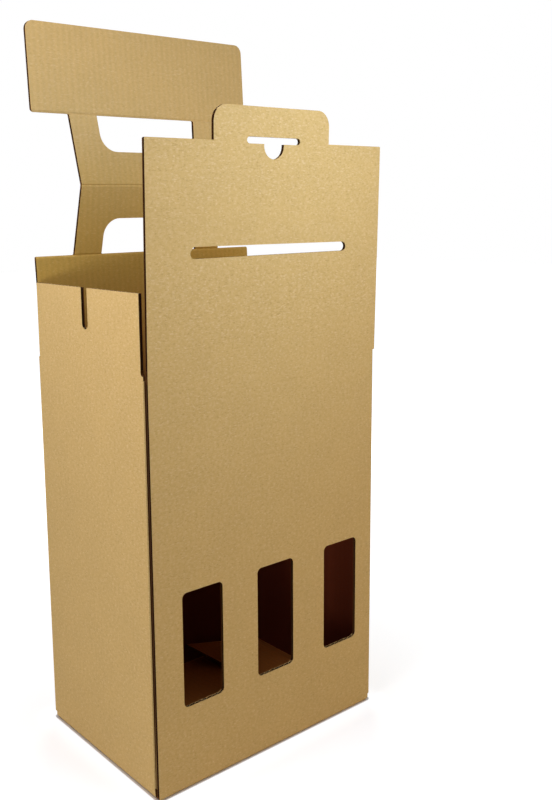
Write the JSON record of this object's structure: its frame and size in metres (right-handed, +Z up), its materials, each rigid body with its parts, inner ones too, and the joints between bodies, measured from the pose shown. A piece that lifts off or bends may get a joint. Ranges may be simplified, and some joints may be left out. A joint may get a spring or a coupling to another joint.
{
  "type": "bottle carrier",
  "caption": "Upright carrier box folded from corrugated board, standing open, with windows, a slotted lid with a tuck tab, slotted side flaps and a back flap that folds into the handle.",
  "frame": {"origin": "middle of the base, on the floor, at the crossing of the box's width and depth centre lines", "axes": "+X to the right along the front wall, -Y out of the front wall, +Z up"},
  "size_m": [0.25, 0.1853, 0.6329],
  "materials": {
    "kraft_board": "matte brown kraft liner with fine fibre flecks"
  },
  "bodies": {
    "carton": {"carton": "kraft_board"},
    "lid": {"lid": "kraft_board"},
    "left_flap": {"left_flap": "kraft_board"},
    "right_flap": {"right_flap": "kraft_board"},
    "back_flap": {"back_flap": "kraft_board"}
  },
  "joints": [
    {"name": "lid_crease", "type": "hinge", "parent": "carton", "child": "lid", "pos_m": [0, -0.0846, 0.348], "axis": [1, 0, 0], "range_deg": [-5, 105]},
    {"name": "left_flap_crease", "type": "hinge", "parent": "carton", "child": "left_flap", "pos_m": [-0.1236, 0, 0.348], "axis": [0, 1, 0], "range_deg": [-105, 90]},
    {"name": "right_flap_crease", "type": "hinge", "parent": "carton", "child": "right_flap", "pos_m": [0.1236, 0, 0.348], "axis": [0, -1, 0], "range_deg": [-105, 90]},
    {"name": "back_flap_crease", "type": "hinge", "parent": "carton", "child": "back_flap", "pos_m": [0, 0.0846, 0.348], "axis": [1, 0, 0], "range_deg": [-102, 30]}
  ]
}
